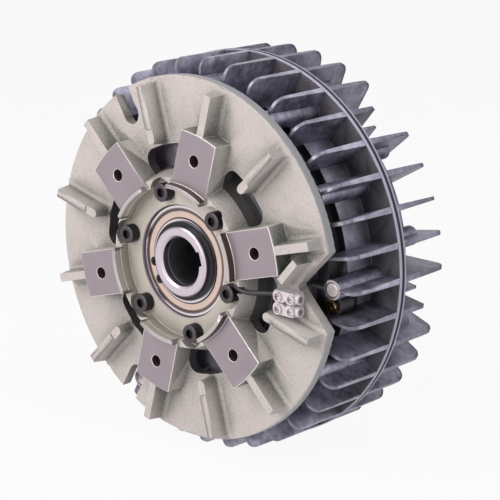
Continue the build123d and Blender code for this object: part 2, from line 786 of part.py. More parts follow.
# Front half of the drum
front_seal_radius = neck_radius + front_seal_wall
with BuildPart() as drum_front:
    with BuildSketch(Plane.XY):
        Polygon(
            (cylinder_outer, parting_depth),
            (rim_radius - parting_chamfer, parting_depth),
            (rim_radius, parting_depth - parting_chamfer),
            (rim_radius, parting_depth - rim_web + rim_chamfer),
            (rim_radius - rim_chamfer, parting_depth - rim_web),
            (drum_radius, parting_depth - rim_web),
            (drum_radius, web_front + drum_ledge_length),
            (ledge_radius, web_front + drum_ledge_length),
            (ledge_radius, web_front),
            (neck_radius + neck_clearance, web_front),
            (neck_radius + neck_clearance, web_front + seal_lip),
            (front_seal_radius, web_front + seal_lip),
            (front_seal_radius, cylinder_front),
            (cylinder_outer, cylinder_front),
            align=None,
        )
    revolve(axis=Axis.Y)
    add(front_fins)

    # Bosses for the drum screws, from the fin edges back to the rim web
    with BuildSketch(at_depth(parting_depth - rim_web / 2)):
        with PolarLocations(screw_boss_radius, screw_boss_count, start_angle=fin_angle):
            Circle(screw_boss_diameter / 2)
    extrude(amount=parting_depth - rim_web / 2 - fins_front)
    with BuildSketch(at_depth(drum_screw_seat)):
        with PolarLocations(screw_boss_radius, screw_boss_count, start_angle=fin_angle):
            Circle(m6_head / 2 + screw_clearance)
    extrude(amount=m6_head_height, mode=Mode.SUBTRACT)
    with BuildSketch(at_depth(parting_depth)):
        with PolarLocations(screw_boss_radius, screw_boss_count, start_angle=fin_angle):
            Circle(m6_thread / 2 + screw_clearance)
    extrude(amount=parting_depth - drum_screw_seat, mode=Mode.SUBTRACT)

    # Two opposite filler bosses, each with its thread and a slanted duct into the powder space
    for angle in (plug_angle, plug_angle + 180):
        with BuildSketch(at_depth(web_front + drum_ledge_length)):
            with Locations(polar(plug_radius, angle)):
                Circle(plug_boss_diameter / 2)
        extrude(amount=drum_ledge_length + plug_boss_height)
        with BuildSketch(at_depth(plug_seat + plug_thread_length)):
            with Locations(polar(plug_radius, angle)):
                Circle(plug_thread / 2)
        extrude(amount=plug_thread_length, mode=Mode.SUBTRACT)
        outer_x, outer_z = polar(plug_radius, angle)
        inner_x, inner_z = polar(face_fin_radius, angle)
        duct_start = Vector(outer_x, plug_seat + plug_thread_length - fill_duct / 2, outer_z)
        duct_end = Vector(inner_x, cylinder_front, inner_z)
        with BuildSketch(Plane(origin=duct_start, z_dir=duct_end - duct_start)):
            Circle(fill_duct / 2)
        extrude(amount=(duct_end - duct_start).length, mode=Mode.SUBTRACT)

save(drum_front, "drum_front")

# Rear half of the drum, bolted to the shaft flange
rear_seal_radius = rear_neck_radius + rear_seal_wall
rear_hub_front = flange_face_depth - rear_hub_length
with BuildPart() as drum_rear:
    with BuildSketch(Plane.XY):
        Polygon(
            (cylinder_outer, parting_depth),
            (rim_radius - parting_chamfer, parting_depth),
            (rim_radius, parting_depth + parting_chamfer),
            (rim_radius, parting_depth + rim_web - rim_chamfer),
            (rim_radius - rim_chamfer, parting_depth + rim_web),
            (drum_radius, parting_depth + rim_web),
            (drum_radius, web_back - drum_ledge_length),
            (ledge_radius, web_back - drum_ledge_length),
            (ledge_radius, web_back),
            (flange_radius + flange_clearance, web_back),
            (flange_radius + flange_clearance, flange_face_depth),
            (register_radius, flange_face_depth),
            (register_radius, rear_neck_end + seal_lip),
            (rear_seal_radius, rear_neck_end + seal_lip),
            (rear_seal_radius, rear_hub_front),
            (rear_hub_radius, rear_hub_front),
            (rear_hub_radius, cylinder_back),
            (cylinder_outer, cylinder_back),
            align=None,
        )
    revolve(axis=Axis.Y)
    add(mirror(rear_fins, about=at_depth(parting_depth), mode=Mode.PRIVATE))

    # Six fins of the rear half are shorter than the rest
    with BuildSketch(at_depth(fins_back)):
        with PolarLocations(rim_radius, short_fin_count, start_angle=short_fin_angle):
            Rectangle(2 * (rim_radius - drum_radius) - rim_chamfer, 2 * fin_root_width)
    extrude(amount=fins_back - short_fin_depth, mode=Mode.SUBTRACT)

    # Short bosses that take the drum screws, and long lugs with tapped ends
    boss_start = parting_depth + rim_web / 2
    with BuildSketch(at_depth(boss_start)):
        with PolarLocations(screw_boss_radius, screw_boss_count, start_angle=fin_angle):
            Circle(screw_boss_diameter / 2)
    extrude(amount=-(rim_web / 2 + rear_boss_length))
    with BuildSketch(at_depth(boss_start)):
        with PolarLocations(screw_boss_radius, screw_boss_count, start_angle=lug_angle):
            Circle(screw_boss_diameter / 2)
    extrude(amount=-(rim_web / 2 + lug_length))
    with BuildSketch(at_depth(parting_depth)):
        with PolarLocations(screw_boss_radius, screw_boss_count, start_angle=fin_angle):
            Circle(m6_thread / 2)
    extrude(amount=-(rim_web + rear_boss_length - thread_runout), mode=Mode.SUBTRACT)
    with BuildSketch(at_depth(parting_depth + rim_web + lug_length)):
        with PolarLocations(screw_boss_radius, screw_boss_count, start_angle=lug_angle):
            Circle(lug_tap_drill / 2)
    extrude(amount=lug_tap_depth, mode=Mode.SUBTRACT)
    with BuildSketch(at_depth(flange_face_depth)):
        with PolarLocations(hub_bolt_radius, hub_bolt_count, start_angle=key_angle):
            Circle(m6_thread / 2)
    extrude(amount=hub_bolt_length - (hub_bolt_seat - flange_face_depth), mode=Mode.SUBTRACT)

save(drum_rear, "drum_rear")

# Felt rings that keep the powder in, one in each web of the drum
with BuildPart() as front_powder_seal:
    with BuildSketch(at_depth(web_front + seal_lip + seal_width)):
        Circle(front_seal_radius)
        Circle(neck_radius + felt_clearance, mode=Mode.SUBTRACT)
    extrude(amount=seal_width)

save(front_powder_seal, "front_powder_seal")

with BuildPart() as rear_powder_seal:
    with BuildSketch(at_depth(rear_hub_front + seal_width)):
        Circle(rear_seal_radius)
        Circle(rear_neck_radius + felt_clearance, mode=Mode.SUBTRACT)
    extrude(amount=seal_width)

save(rear_powder_seal, "rear_powder_seal")


def write_screws(name, screw, length, seat, facing, radius, count, angle):
    # Screws in a circle, with a hexagon socket where the screw has one. Facing is 1 for heads to the
    # front and -1 for heads to the rear.
    thread, head, head_height, flats, socket_depth = screw
    with BuildPart() as screws:
        with BuildSketch(at_depth(seat)):
            with PolarLocations(radius, count, start_angle=angle):
                Circle(head / 2)
        extrude(amount=facing * head_height)
        rims = screws.edges().filter_by(GeomType.CIRCLE).group_by(Axis.Y)
        chamfer(rims[0] if facing > 0 else rims[-1], screw_chamfer)
        with BuildSketch(at_depth(seat)):
            with PolarLocations(radius, count, start_angle=angle):
                Circle(thread / 2)
        extrude(amount=-facing * length)
        if socket_depth:
            with BuildSketch(at_depth(seat - facing * head_height)):
                with PolarLocations(radius, count, start_angle=angle):
                    RegularPolygon(flats / 2, 6, major_radius=False)
            extrude(amount=-facing * socket_depth, mode=Mode.SUBTRACT)
    save(screws, name)


write_screws("hub_screws", m8_screw, hub_screw_length, hub_floor_depth, 1,
             hub_screw_radius, pad_count, gap_angle)
write_screws("core_screws", m6_screw, core_screw_length, core_screw_seat, -1,
             hub_screw_radius, pad_count, pad_angle)
write_screws("drum_screws", m6_plain_screw, drum_screw_length, drum_screw_seat, 1,
             screw_boss_radius, screw_boss_count, fin_angle)
write_screws("flange_bolts", m6_screw, hub_bolt_length, hub_bolt_seat, -1,
             hub_bolt_radius, hub_bolt_count, key_angle)

# Brass filler plugs with a hexagon socket
with BuildPart() as fill_plugs:
    for angle in (plug_angle, plug_angle + 180):
        with BuildSketch(at_depth(plug_seat)):
            with Locations(polar(plug_radius, angle)):
                Circle(plug_head[0] / 2)
        extrude(amount=plug_head[1])
        with BuildSketch(at_depth(plug_seat - plug_head[1])):
            with Locations(polar(plug_radius, angle)):
                RegularPolygon(plug_socket[0] / 2, 6, major_radius=False)
        extrude(amount=-plug_socket[1], mode=Mode.SUBTRACT)
        with BuildSketch(at_depth(plug_seat)):
            with Locations(polar(plug_radius, angle)):
                Circle(plug_thread / 2)
        extrude(amount=-plug_thread_length + fill_duct / 2)

save(fill_plugs, "fill_plugs")

# Terminal block: two poles side by side, each with a barrel along X and two screw funnels
pole_heights = (top_pole_height, top_pole_height - pole_pitch)
entry_depth = lead_route[-1][1]
block_front = plate_depth - block_height
with BuildPart() as terminal_block:
    for pole_height in pole_heights:
        with BuildSketch(at_depth(plate_depth)):
            with Locations((block_centre_x, pole_height)):
                RectangleRounded(block_length - 2 * barrel_standout, pole_width, block_corner)
        extrude(amount=plate_depth - entry_depth + barrel_diameter / 2)
        with BuildSketch(Plane.YZ.offset(block_left)):
            with Locations((entry_depth, pole_height)):
                Circle(barrel_diameter / 2)
        extrude(amount=block_length)
        with BuildSketch(at_depth(entry_depth)):
            with Locations((block_left + funnel_inset, pole_height),
                           (block_left + block_length - funnel_inset, pole_height)):
                Circle(funnel_diameter / 2)
        extrude(amount=entry_depth - block_front)
    with BuildSketch(at_depth(plate_depth)):
        with Locations((block_centre_x, block_centre_z)):
            Rectangle(waist_length, pole_pitch)
    extrude(amount=waist_height)
    for pole_height in pole_heights:
        with BuildSketch(Plane.YZ.offset(block_left)):
            with Locations((entry_depth, pole_height)):
                Circle(sleeve_diameter / 2)
        extrude(amount=block_length, mode=Mode.SUBTRACT)
        with BuildSketch(at_depth(entry_depth)):
            with Locations((block_left + funnel_inset, pole_height),
                           (block_left + block_length - funnel_inset, pole_height)):
                Circle(clamp_head / 2 + screw_clearance)
        extrude(amount=entry_depth - block_front, mode=Mode.SUBTRACT)
    with BuildSketch(at_depth(plate_depth)):
        with Locations((block_centre_x, block_centre_z)):
            Circle(block_screw_thread / 2)
    extrude(amount=waist_height, mode=Mode.SUBTRACT)
    with BuildSketch(at_depth(plate_depth - waist_height)):
        with Locations((block_centre_x, block_centre_z)):
            Circle(block_screw_head / 2)
    extrude(amount=block_height - waist_height, mode=Mode.SUBTRACT)

save(terminal_block, "terminal_block")

with BuildPart() as terminal_sleeves:
    for pole_height in pole_heights:
        with BuildSketch(Plane.YZ.offset(block_left + sleeve_inset)):
            with Locations((entry_depth, pole_height)):
                Circle(sleeve_diameter / 2)
                Circle(sleeve_bore / 2, mode=Mode.SUBTRACT)
        extrude(amount=block_length - 2 * sleeve_inset)
        with BuildSketch(at_depth(entry_depth)):
            with Locations((block_left + funnel_inset, pole_height),
                           (block_left + block_length - funnel_inset, pole_height)):
                Circle(clamp_thread / 2)
        extrude(amount=sleeve_diameter, mode=Mode.SUBTRACT)

save(terminal_sleeves, "terminal_sleeves")

with BuildPart() as clamp_screws:
    screw_face = block_front + clamp_head_height / 2
    head_back = screw_face + clamp_head_height
    for pole_height in pole_heights:
        for x in (block_left + funnel_inset, block_left + block_length - funnel_inset):
            with BuildSketch(at_depth(head_back)):
                with Locations((x, pole_height)):
                    Circle(clamp_head / 2)
            extrude(amount=clamp_head_height)
            with BuildSketch(at_depth(entry_depth)):
                with Locations((x, pole_height)):
                    Circle(clamp_thread / 2)
            extrude(amount=entry_depth - head_back)
            with BuildSketch(at_depth(screw_face)):
                with Locations((x, pole_height)):
                    Rectangle(clamp_head, clamp_slot)
            extrude(amount=-clamp_head_height / 2, mode=Mode.SUBTRACT)

save(clamp_screws, "terminal_clamp_screws")

with BuildPart() as block_screw:
    screw_seat = plate_depth - waist_height
    with BuildSketch(at_depth(screw_seat)):
        with Locations((block_centre_x, block_centre_z)):
            Circle(block_screw_head / 2)
    extrude(amount=clamp_head_height)
    with BuildSketch(at_depth(screw_seat)):
        with Locations((block_centre_x, block_centre_z)):
            Circle(block_screw_thread / 2)
    extrude(amount=-block_screw_length)

save(block_screw, "terminal_block_screw")

# Coil lead: straight runs joined by tangent arcs. An arc takes up to its share of the shorter run.
points = [Vector(*point) for point in lead_route]
radii = []
for before, corner, after in zip(points, points[1:], points[2:]):
    turn = (corner - before).get_angle(after - corner)
    shorter_run = min((corner - before).length, (after - corner).length)
    radii.append(lead_bend_share * shorter_run / tan(radians(turn) / 2))
print("lead bend radii", [round(radius, 1) for radius in radii])
with BuildPart() as coil_lead:
    with BuildLine() as lead_line:
        FilletPolyline(*points, radius=radii)
    with BuildSketch(Plane(origin=points[0], z_dir=points[1] - points[0])):
        Circle(lead_diameter / 2)
    sweep(path=lead_line.wires()[0])
lead_length = lead_line.wires()[0].length
lead_volume = pi * (lead_diameter / 2) ** 2 * lead_length
print("lead length", round(lead_length, 1), "volume", round(coil_lead.part.volume), "of", round(lead_volume))

save(coil_lead, "coil_lead")
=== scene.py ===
# %% [markdown]
# This lesson dresses a magnetic powder brake. Its rigid pieces come from CAD, and they get the
# surfaces of the real ones: a painted iron bracket with machined pads, a finned drum of cast
# aluminium, ground bearing rings, black screws and a small white terminal block. The Y axis is the
# shaft axis, the pads face the front, towards -Y, and Z is up. All lengths are in metres.

# %% Load the frame
import json
import math

import bmesh
import bpy
from mathutils import Matrix, Vector

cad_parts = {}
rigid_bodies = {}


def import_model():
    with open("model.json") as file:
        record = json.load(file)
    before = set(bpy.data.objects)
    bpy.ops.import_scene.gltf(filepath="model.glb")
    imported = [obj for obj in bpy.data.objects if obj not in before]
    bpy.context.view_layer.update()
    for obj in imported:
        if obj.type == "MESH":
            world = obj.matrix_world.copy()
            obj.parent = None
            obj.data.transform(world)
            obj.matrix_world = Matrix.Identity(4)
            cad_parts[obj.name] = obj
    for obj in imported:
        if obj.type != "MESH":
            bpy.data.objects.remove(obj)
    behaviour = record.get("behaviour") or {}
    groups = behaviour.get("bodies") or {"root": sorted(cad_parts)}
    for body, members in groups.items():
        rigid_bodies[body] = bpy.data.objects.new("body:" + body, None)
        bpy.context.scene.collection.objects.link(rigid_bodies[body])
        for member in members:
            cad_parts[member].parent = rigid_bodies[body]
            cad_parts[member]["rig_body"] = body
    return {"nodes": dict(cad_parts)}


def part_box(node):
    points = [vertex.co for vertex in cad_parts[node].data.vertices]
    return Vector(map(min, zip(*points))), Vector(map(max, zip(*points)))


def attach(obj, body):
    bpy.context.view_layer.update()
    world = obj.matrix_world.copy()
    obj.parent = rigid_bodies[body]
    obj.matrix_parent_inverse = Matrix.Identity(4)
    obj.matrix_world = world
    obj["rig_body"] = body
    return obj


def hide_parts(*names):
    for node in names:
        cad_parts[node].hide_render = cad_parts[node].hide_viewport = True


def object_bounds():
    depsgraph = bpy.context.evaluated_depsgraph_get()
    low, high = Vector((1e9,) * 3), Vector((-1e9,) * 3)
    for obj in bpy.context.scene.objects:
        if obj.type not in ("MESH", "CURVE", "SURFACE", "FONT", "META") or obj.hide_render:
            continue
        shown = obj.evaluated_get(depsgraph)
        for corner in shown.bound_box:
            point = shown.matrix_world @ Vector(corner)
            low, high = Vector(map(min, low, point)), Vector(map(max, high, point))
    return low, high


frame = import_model()
nodes = frame["nodes"]
cad_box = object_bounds()
MM = 0.001
print("nodes", len(nodes), "box", [round(v / MM, 1) for corner in cad_box for v in corner])

# %% [markdown]
# The camera stands where the photographer stood: to the right of the brake, a little above it and
# far away with a long lens. It could be turned by hand until the picture fits, but two angles give
# all three of its directions at once, and its place is how far it is along each of them.

# %% Camera
CAMERA_AZIMUTH = 42.61
CAMERA_ELEVATION = 14.93
CAMERA_STAND = (0.05234, 0.00955, 1.2784)
CAMERA_LENS = 133.1


def direction(azimuth, elevation):
    """The unit vector from the brake towards an azimuth and elevation, both in degrees."""
    azimuth = math.radians(azimuth)
    elevation = math.radians(elevation)
    return Vector((
        math.sin(azimuth) * math.cos(elevation),
        -math.cos(azimuth) * math.cos(elevation),
        math.sin(elevation),
    ))


def add(name, data):
    """A new object in the scene, at the origin."""
    made = bpy.data.objects.new(name, data)
    bpy.context.scene.collection.objects.link(made)
    return made


back = direction(CAMERA_AZIMUTH, CAMERA_ELEVATION)
right = direction(CAMERA_AZIMUTH + 90, 0)
up = back.cross(right)
camera = add("camera", bpy.data.cameras.new("camera"))
camera.data.sensor_width = 36
camera.data.lens = CAMERA_LENS
camera.data.clip_start = 0.05
camera.data.clip_end = 30
turn = Matrix((right, up, back)).transposed().to_4x4()
camera.matrix_world = Matrix.Translation(
    right * CAMERA_STAND[0] + up * CAMERA_STAND[1] + back * CAMERA_STAND[2]) @ turn
bpy.context.scene.camera = camera
print("camera at", [round(v, 3) for v in camera.location])

# %% [markdown]
# A material is a graph of nodes. Written out by hand, even a short formula is long, so a small
# class wraps one socket and lets Python's own operators add the Math nodes. A comparison gives a
# mask, which is 1 where it holds and 0 elsewhere, and masks are joined by multiplying them.


# %% Values
class Value:
    """One output socket, which numbers and other values can be added to, multiplied with and so on."""

    def __init__(self, graph, socket):
        self.graph = graph
        self.socket = socket

    def __add__(self, other):
        return self.graph.maths("ADD", self, other)

    def __radd__(self, other):
        return self.graph.maths("ADD", other, self)

    def __sub__(self, other):
        return self.graph.maths("SUBTRACT", self, other)

    def __rsub__(self, other):
        return self.graph.maths("SUBTRACT", other, self)

    def __mul__(self, other):
        return self.graph.maths("MULTIPLY", self, other)

    def __rmul__(self, other):
        return self.graph.maths("MULTIPLY", other, self)

    def __lt__(self, other):
        return self.graph.maths("LESS_THAN", self, other)

    def __gt__(self, other):
        return self.graph.maths("GREATER_THAN", self, other)

    def between(self, low, high):
        """1 between two numbers and 0 elsewhere."""
        return (self > low) * (self < high)


print("values can be added, multiplied and compared")

# %% [markdown]
# Noise, ramps and bumps need more than a number, and each could be made and linked in lines of its
# own. Instead one method makes them all: it sets what the node is before it links what goes into
# it. It works in any node tree, so the sky uses it too.


# %% Node trees
def opaque(colour):
    """A plain colour with full alpha. A value stays as it is."""
    return colour if isinstance(colour, Value) else (*colour, 1)


class Graph:
    """A node tree under construction."""

    def __init__(self, tree):
        self.tree = tree

    def feed(self, socket, value):
        """Links a value to an input socket, or sets the socket to a plain number or colour."""
        if isinstance(value, Value):
            self.tree.links.new(value.socket, socket)
        else:
            socket.default_value = value

    def fill_ramp(self, elements, stops):
        """Gives a colour ramp its stops, each a position and a colour."""
        while len(elements) < len(stops):
            elements.new(0.5)
        for element, (position, colour) in zip(elements, stops):
            element.position = position
            element.color = opaque(colour)

    def node(self, kind, settings=None, inputs=None, out=0):
        """A new node with its settings and inputs. Gives one of its outputs as a value."""
        made = self.tree.nodes.new(kind)
        for key, value in (settings or {}).items():
            if key == "stops":
                self.fill_ramp(made.color_ramp.elements, value)
            else:
                setattr(made, key, value)
        for key, value in (inputs or {}).items():
            self.feed(made.inputs[key], value)
        return Value(self, made.outputs[out])

    def maths(self, operation, *terms):
        return self.node("ShaderNodeMath", {"operation": operation}, dict(enumerate(terms)))

    def larger(self, first, second):
        return self.maths("MAXIMUM", first, second)

    def hypotenuse(self, first, second):
        """The length of the long side of a right-angled triangle."""
        return self.maths("SQRT", first * first + second * second)

    def step(self, value, low, high):
        """0 below low, 1 above high and a smooth slope between them."""
        return self.node("ShaderNodeMapRange", {"interpolation_type": "SMOOTHSTEP"},
                         {"Value": value, "From Min": low, "From Max": high})

    def mix(self, share, first, second):
        """A colour that goes from the first to the second as the share goes from 0 to 1."""
        return self.node("ShaderNodeMix", {"data_type": "RGBA"},
                         {0: share, 6: opaque(first), 7: opaque(second)}, out=2)

    def seen_by(self, *rays):
        """1 for a ray of one of these kinds, and 0 for the rays that carry light to other things."""
        seen = self.node("ShaderNodeLightPath", out=rays[0])
        for ray in rays[1:]:
            seen = self.larger(seen, self.node("ShaderNodeLightPath", out=ray))
        return seen


print("node trees can be built")

# %% [markdown]
# Dirt, wear, machining and painted light and shade depend on where a place is on the brake. The pieces
# have no UV maps, and an unwrapped casting would show its seams, so all patterns read Object
# coordinates, which stay with a piece when it turns. These methods measure a place: how far it is from
# the shaft axis or from a ring of holes, whether it lies in a corner, and whether a rounded edge strip
# runs there.


# %% Places on the brake
class Places(Graph):
    """A material's node tree, which knows where on its piece each place is."""

    def __init__(self, tree):
        super().__init__(tree)
        self.place = self.node("ShaderNodeTexCoord", out="Object")

    def axes(self):
        """The X, Y and Z of a place, as three values."""
        split = self.node("ShaderNodeSeparateXYZ", None, {0: self.place})
        return [Value(self, socket) for socket in split.socket.node.outputs]

    def off_axis(self):
        """How far a place is from the shaft axis."""
        x, _, z = self.axes()
        return self.hypotenuse(x, z)

    def round_ring(self, radius, count, first_angle):
        """How far a place is, seen from the front, from the nearest of a ring of hole centres, and
        at what angle round that centre."""
        x, _, z = self.axes()
        distance = self.hypotenuse(x, z)
        half = math.radians(360 / count) / 2
        angle = self.maths("ARCTAN2", z, x) - math.radians(first_angle)
        angle = self.maths("WRAP", angle, half, -half)
        across = distance * self.maths("SINE", angle)
        along = distance * self.maths("COSINE", angle) - radius
        return self.hypotenuse(across, along), self.maths("ARCTAN2", across, along)

    def off_ring(self, radius, count, first_angle):
        return self.round_ring(radius, count, first_angle)[0]

    def rubbed(self):
        """1 on the rounded edge strips of a piece and 0 elsewhere."""
        return self.node("ShaderNodeAttribute", {"attribute_name": "rubbed"}, out="Fac")

    def corners(self, reach, low, high):
        """1 deep in a corner and 0 in the open, by how much stands within reach of a place."""
        openness = self.node("ShaderNodeAmbientOcclusion", {"samples": 8, "only_local": True},
                             {"Distance": reach}, out="AO")
        return self.step(1 - openness, low, high)


print("places can be measured")

# %% [markdown]
# A finish is a material round one Principled shader, because that one shader covers paint, metal,
# rubber and plastic. It starts with plain numbers, and values are linked over them where the real
# surface varies. Noise gives the variation, and bump gives a skin that is too fine to model.


# %% Finishes
class Finish(Places):
    """A material under construction, which starts with a plain colour, roughness and metallic."""

    def __init__(self, name, base, roughness, metallic=0.0, slot=None):
        self.material = bpy.data.materials.new(name)
        self.material.use_nodes = True
        super().__init__(self.material.node_tree)
        self.slot = slot or name
        self.shader = self.tree.nodes["Principled BSDF"]
        self.set("Base Color", opaque(base))
        self.set("Roughness", roughness)
        self.set("Metallic", metallic)

    def set(self, socket, value):
        """Sets or links one socket of the shader."""
        self.feed(self.shader.inputs[socket], value)

    def noise(self, scale, detail=3, roughness=0.5, place=None):
        """Smooth noise from 0 to 1, with that many lumps in a metre."""
        return self.node("ShaderNodeTexNoise", None, {
            "Vector": place or self.place, "Scale": scale, "Detail": detail, "Roughness": roughness})

    def bump(self, height, distance, strength=1.0):
        return self.node("ShaderNodeBump", None,
                         {"Height": height, "Distance": distance, "Strength": strength})


print("finishes can be built")

# %% [markdown]
# Real edges are never perfectly sharp, and the small bevel that shows this must not run into the
# next edge, or the mesh tears. Blender's own clamp would shrink every bevel of a piece to what its
# smallest edge allows. Here each edge is tested instead, and those without room stay sharp.

# %% Room for a bevel
STRAIGHT_ON = math.radians(150)
LARGEST_SHARE = 0.45
SHORTEST_EDGE = 1.2
SMALLEST_SINE = 1e-6


def has_room(edge, size):
    """Whether a bevel of that size fits at both ends of an edge, between the edges that meet it."""
    for corner in edge.verts:
        along = (edge.other_vert(corner).co - corner.co).normalized()
        for other in corner.link_edges:
            if other is edge:
                continue
            away = other.other_vert(corner).co - corner.co
            angle = along.angle(away, 0.0)
            slide = size / max(math.sin(angle), SMALLEST_SINE)
            if angle < STRAIGHT_ON and slide > LARGEST_SHARE * away.length:
                return False
    return edge.calc_length() > SHORTEST_EDGE * size


print("an edge has to be", SHORTEST_EDGE, "times as long as its bevel is wide")

# %% [markdown]
# The shape of each rigid piece is right, so it isn't modelled again, but a CAD mesh is loose
# triangles with sharp edges. A copy of it is merged, its flat areas are cleaned, its sharp edges
# are rounded, and the rest is shaded smooth. The copy stands for the node and rides on the same
# body.

# %% Copy nodes with round edges
MERGE_DISTANCE = 2e-6
FLAT_ANGLE = math.radians(1)
JOIN_ANGLE = math.radians(14)
JOIN_SHAPE_ANGLE = math.radians(60)
CREASE = math.radians(28)
BEVEL_SEGMENTS = 2
SHARP = 0


def merged(mesh):
    """A copy of a CAD mesh, with merged points and with few large faces where it is flat."""
    form = bmesh.new()
    form.from_mesh(mesh)
    bmesh.ops.remove_doubles(form, verts=form.verts, dist=MERGE_DISTANCE)
    bmesh.ops.dissolve_limit(form, angle_limit=FLAT_ANGLE, use_dissolve_boundaries=False,
                             verts=form.verts, edges=form.edges, delimit={"NORMAL"})
    bmesh.ops.join_triangles(form, faces=[face for face in form.faces if len(face.verts) == 3],
                             angle_face_threshold=JOIN_ANGLE, angle_shape_threshold=JOIN_SHAPE_ANGLE)
    return form


def round_edges(form, size):
    """Bevels the sharp edges that have room for it, and marks the strips that this makes."""
    rubbed = form.faces.layers.float.new("rubbed")
    if size:
        sharp = [edge for edge in form.edges if edge.is_manifold and edge.calc_face_angle() > CREASE]
        sharp = [edge for edge in sharp if has_room(edge, size)]
        strips = bmesh.ops.bevel(form, geom=sharp, offset=size, offset_type="OFFSET", affect="EDGES",
                                 segments=BEVEL_SEGMENTS, profile=0.5, material=-1,
                                 clamp_overlap=False, loop_slide=True)["faces"]
        for face in strips:
            face[rubbed] = 1.0
    for edge in form.edges:
        on_strip = any(face[rubbed] for face in edge.link_faces)
        edge.smooth = on_strip or edge.calc_face_angle(0) < CREASE
    for face in form.faces:
        face.smooth = True


def wear_in(finish, size, *names):
    """Copies CAD nodes with edges rounded by that size, or left SHARP. The copies stand for them."""
    for name in names:
        form = merged(nodes[name].data)
        round_edges(form, size)
        mesh = bpy.data.meshes.new(name + "_dressed")
        form.to_mesh(mesh)
        form.free()
        mesh.materials.append(finish.material)
        piece = add(mesh.name, mesh)
        shading = piece.modifiers.new("even_shading", "WEIGHTED_NORMAL")
        shading.keep_sharp = True
        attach(piece, nodes[name]["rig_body"])
        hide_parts(name)
        print(piece.name, "faces", len(mesh.polygons))


print("sharp is more than", round(math.degrees(CREASE)), "degrees")

# %% [markdown]
# The bracket is an iron casting under a thin pale paint. The sand of the mould shows through it as fine
# grain and small dark pits, and edges are painted paler, partly as wear and partly as painted
# highlight. An image of such a skin would stretch over the ribs, so three noises of different sizes
# make it: clouds, grain and pits.

# %% Paint of the bracket
WARM_PAINT = (0.62, 0.565, 0.545)
GREY_PAINT = (0.565, 0.52, 0.50)
DARK_GRAIN = (0.36, 0.345, 0.335)
DARK_PITS = (0.35, 0.35, 0.33)

paint = Finish("bracket_casting", (0.60, 0.55, 0.52), 0.55)
_, y, _ = paint.axes()
distance = paint.off_axis()
clouds = paint.noise(35, detail=4)
grain = paint.noise(900, detail=2, roughness=0.6)
pits = paint.noise(720, detail=2, roughness=0.6)
coat = paint.mix(paint.step(clouds, 0.35, 0.7), WARM_PAINT, GREY_PAINT)
coat = paint.mix(paint.step(grain, 0.55, 0.8) * 0.35, coat, DARK_GRAIN)
coat = paint.mix(paint.step(pits, 0.50, 0.68) * 0.42, coat, DARK_PITS)
print("the paint has", len(paint.tree.nodes), "nodes so far")

# %% [markdown]
# Painted shade darkens the corners of the ribs to a greenish grey, where ambient occlusion finds them.
# The hub inside the pilot is tinted darker and yellower, and the wall of the plate's rim is a little
# blue. The walls of the windows are painted nearly black as their shade. Painting such places by hand
# takes a UV map, but each of them is easily said as a range of depths and distances from the shaft
# axis.

# %% Painted shade and tints on the paint
PILOT_RADIUS = 57.5 * MM
PAINT_SHADE_REACH = 26 * MM
HUB_TINT_RADIUS = PILOT_RADIUS + 4 * MM
HUB_TINT_FADE = 6 * MM
RIM_WALL_RADIUS = 128.9 * MM
RIM_WALL_FRONT = 15.8 * MM
WINDOW_RADIUS = 82.4 * MM
WINDOW_FRONT = 15.5 * MM

edge_wear_and_highlight = paint.rubbed()
# Painted shade: ambient occlusion darkens the corners to greenish grey, broken up by the pits.
corner_shade = paint.corners(PAINT_SHADE_REACH, 0.08, 0.48) * (0.45 + pits * 0.9)
coat = paint.mix(corner_shade * 0.92, coat, (0.105, 0.115, 0.098))
# Edge strips painted paler: partly wear, partly painted highlight.
coat = paint.mix(edge_wear_and_highlight * 0.55, coat, (0.72, 0.68, 0.665))
# The hub inside the pilot is tinted darker and yellower.
hub = paint.step(HUB_TINT_RADIUS - distance, 0, HUB_TINT_FADE)
coat = paint.mix(hub * 0.35, coat, (0.53, 0.495, 0.39))
rim_wall = (distance > RIM_WALL_RADIUS) * (y > RIM_WALL_FRONT)
coat = paint.mix(rim_wall * 0.6, coat, (0.46, 0.48, 0.54))
# Painted shade: the walls of the windows are painted nearly black.
window_wall_shade = (y > WINDOW_FRONT) * (distance < WINDOW_RADIUS)
coat = paint.mix(window_wall_shade * 0.9, coat, (0.04, 0.038, 0.036))
print("with its dirt the paint has", len(paint.tree.nodes), "nodes")

# %% [markdown]
# The pads, the pilot and the bearing's seat are machined after painting, so the same casting has bare
# metal there. Cutting the mesh in two would leave a seam, so depth and distance from the axis tell the
# faces apart instead. The pads' edges get a painted highlight, the wall of the pilot is painted dark
# brown as its shade, and the pilot is pale on top and still painted inside.

# %% Machined faces of the bracket
RACE_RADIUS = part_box("front_bearing_outer_race")[1].x
SEAT_RADIUS = RACE_RADIUS + 0.3 * MM
PAD_PLANE = 0.2 * MM
PAD_EDGE = (0.04 * MM, 0.8 * MM)
PILOT_WALL_RADIUS = PILOT_RADIUS - 0.4 * MM
PILOT_INNER_RADIUS = PILOT_RADIUS - 3 * MM
PILOT_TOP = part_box("front_bracket")[0].y + 0.2 * MM
PAD_EDGE_HIGHLIGHT = (0.86, 0.82, 0.80)

pilot_inside = (y > PILOT_TOP) * distance.between(SEAT_RADIUS, PILOT_INNER_RADIUS)
front = (y < PAD_PLANE) * (1 - pilot_inside)
bare = paint.larger(front, distance < SEAT_RADIUS)
milled = paint.mix(paint.noise(60), (0.31, 0.26, 0.29), (0.36, 0.31, 0.34))
skin = paint.mix(bare, coat, milled)
# Painted highlight along the pads' edges and on the edge strips of the bare faces.
skin = paint.mix(paint.larger(y.between(*PAD_EDGE), edge_wear_and_highlight * front), skin, PAD_EDGE_HIGHLIGHT)
